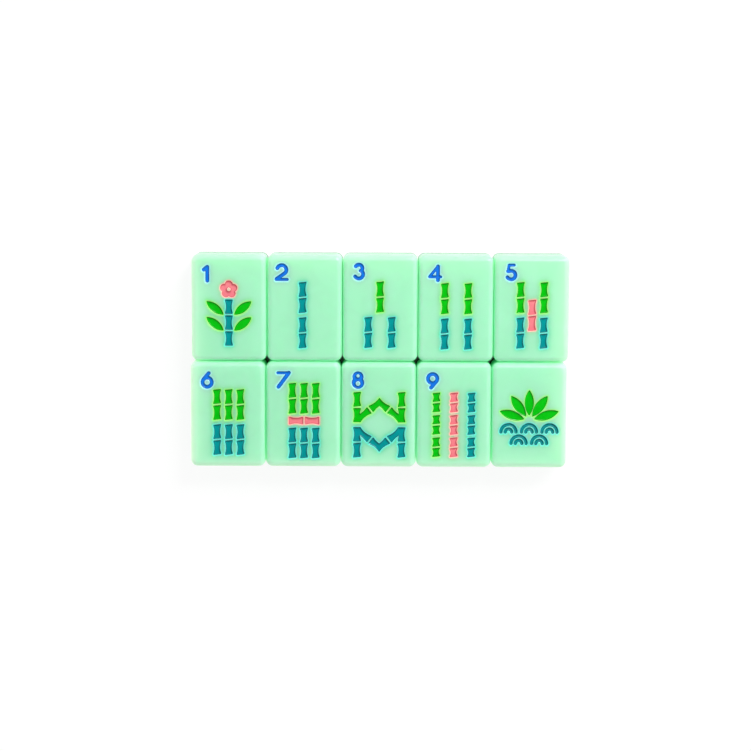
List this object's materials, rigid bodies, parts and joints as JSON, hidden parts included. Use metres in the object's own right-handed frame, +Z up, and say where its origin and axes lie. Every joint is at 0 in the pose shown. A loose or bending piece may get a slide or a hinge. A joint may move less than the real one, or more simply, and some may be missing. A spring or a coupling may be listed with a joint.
{
  "type": "mahjong tile set",
  "caption": "Mahjong tiles in two rows: two-layer resin blocks with rounded edges, whose faces are engraved with numerals, bamboo sticks, a sprig and a lotus, filled with paint.",
  "frame": {"origin": "centre of the two rows, on the table that the tiles lie on", "axes": "+X along the rows, left to right as the faces are read; +Y from the lower row towards the upper row; +Z up, out of the engraved faces"},
  "size_m": [0.1084, 0.0612, 0.0155],
  "materials": {
    "mint_resin": "polished translucent mint-green resin",
    "jade_resin": "polished jade-green resin",
    "blue_paint": "glossy blue enamel in an engraved pocket",
    "green_paint": "glossy leaf-green enamel in an engraved pocket",
    "teal_paint": "glossy teal enamel in an engraved pocket",
    "pink_paint": "glossy coral-pink enamel in an engraved pocket"
  },
  "bodies": {
    "bamboo_1_tile": {"bamboo_1_block": "mint_resin", "bamboo_1_back": "jade_resin", "bamboo_1_numeral": "blue_paint", "bamboo_1_green_paint": "green_paint", "bamboo_1_teal_paint": "teal_paint", "bamboo_1_pink_paint": "pink_paint"},
    "bamboo_2_tile": {"bamboo_2_block": "mint_resin", "bamboo_2_back": "jade_resin", "bamboo_2_numeral": "blue_paint", "bamboo_2_teal_paint": "teal_paint"},
    "bamboo_3_tile": {"bamboo_3_block": "mint_resin", "bamboo_3_back": "jade_resin", "bamboo_3_numeral": "blue_paint", "bamboo_3_green_paint": "green_paint", "bamboo_3_teal_paint": "teal_paint"},
    "bamboo_4_tile": {"bamboo_4_block": "mint_resin", "bamboo_4_back": "jade_resin", "bamboo_4_numeral": "blue_paint", "bamboo_4_green_paint": "green_paint", "bamboo_4_teal_paint": "teal_paint"},
    "bamboo_5_tile": {"bamboo_5_block": "mint_resin", "bamboo_5_back": "jade_resin", "bamboo_5_numeral": "blue_paint", "bamboo_5_green_paint": "green_paint", "bamboo_5_teal_paint": "teal_paint", "bamboo_5_pink_paint": "pink_paint"},
    "bamboo_6_tile": {"bamboo_6_block": "mint_resin", "bamboo_6_back": "jade_resin", "bamboo_6_numeral": "blue_paint", "bamboo_6_green_paint": "green_paint", "bamboo_6_teal_paint": "teal_paint"},
    "bamboo_7_tile": {"bamboo_7_block": "mint_resin", "bamboo_7_back": "jade_resin", "bamboo_7_numeral": "blue_paint", "bamboo_7_green_paint": "green_paint", "bamboo_7_teal_paint": "teal_paint", "bamboo_7_pink_paint": "pink_paint"},
    "bamboo_8_tile": {"bamboo_8_block": "mint_resin", "bamboo_8_back": "jade_resin", "bamboo_8_numeral": "blue_paint", "bamboo_8_green_paint": "green_paint", "bamboo_8_teal_paint": "teal_paint"},
    "bamboo_9_tile": {"bamboo_9_block": "mint_resin", "bamboo_9_back": "jade_resin", "bamboo_9_numeral": "blue_paint", "bamboo_9_green_paint": "green_paint", "bamboo_9_teal_paint": "teal_paint", "bamboo_9_pink_paint": "pink_paint"},
    "lotus_tile": {"lotus_block": "mint_resin", "lotus_back": "jade_resin", "lotus_green_paint": "green_paint", "lotus_teal_paint": "teal_paint"}
  },
  "joints": [
    {"name": "bamboo_1_lift", "type": "slide", "parent": "bamboo_3_tile", "child": "bamboo_1_tile", "axis": [0, 0, 1], "range_m": [0, 0.02]},
    {"name": "bamboo_2_lift", "type": "slide", "parent": "bamboo_3_tile", "child": "bamboo_2_tile", "axis": [0, 0, 1], "range_m": [0, 0.02]},
    {"name": "bamboo_4_lift", "type": "slide", "parent": "bamboo_3_tile", "child": "bamboo_4_tile", "axis": [0, 0, 1], "range_m": [0, 0.02]},
    {"name": "bamboo_5_lift", "type": "slide", "parent": "bamboo_3_tile", "child": "bamboo_5_tile", "axis": [0, 0, 1], "range_m": [0, 0.02]},
    {"name": "bamboo_6_lift", "type": "slide", "parent": "bamboo_3_tile", "child": "bamboo_6_tile", "axis": [0, 0, 1], "range_m": [0, 0.02]},
    {"name": "bamboo_7_lift", "type": "slide", "parent": "bamboo_3_tile", "child": "bamboo_7_tile", "axis": [0, 0, 1], "range_m": [0, 0.02]},
    {"name": "bamboo_8_lift", "type": "slide", "parent": "bamboo_3_tile", "child": "bamboo_8_tile", "axis": [0, 0, 1], "range_m": [0, 0.02]},
    {"name": "bamboo_9_lift", "type": "slide", "parent": "bamboo_3_tile", "child": "bamboo_9_tile", "axis": [0, 0, 1], "range_m": [0, 0.02]},
    {"name": "lotus_lift", "type": "slide", "parent": "bamboo_3_tile", "child": "lotus_tile", "axis": [0, 0, 1], "range_m": [0, 0.02]}
  ]
}
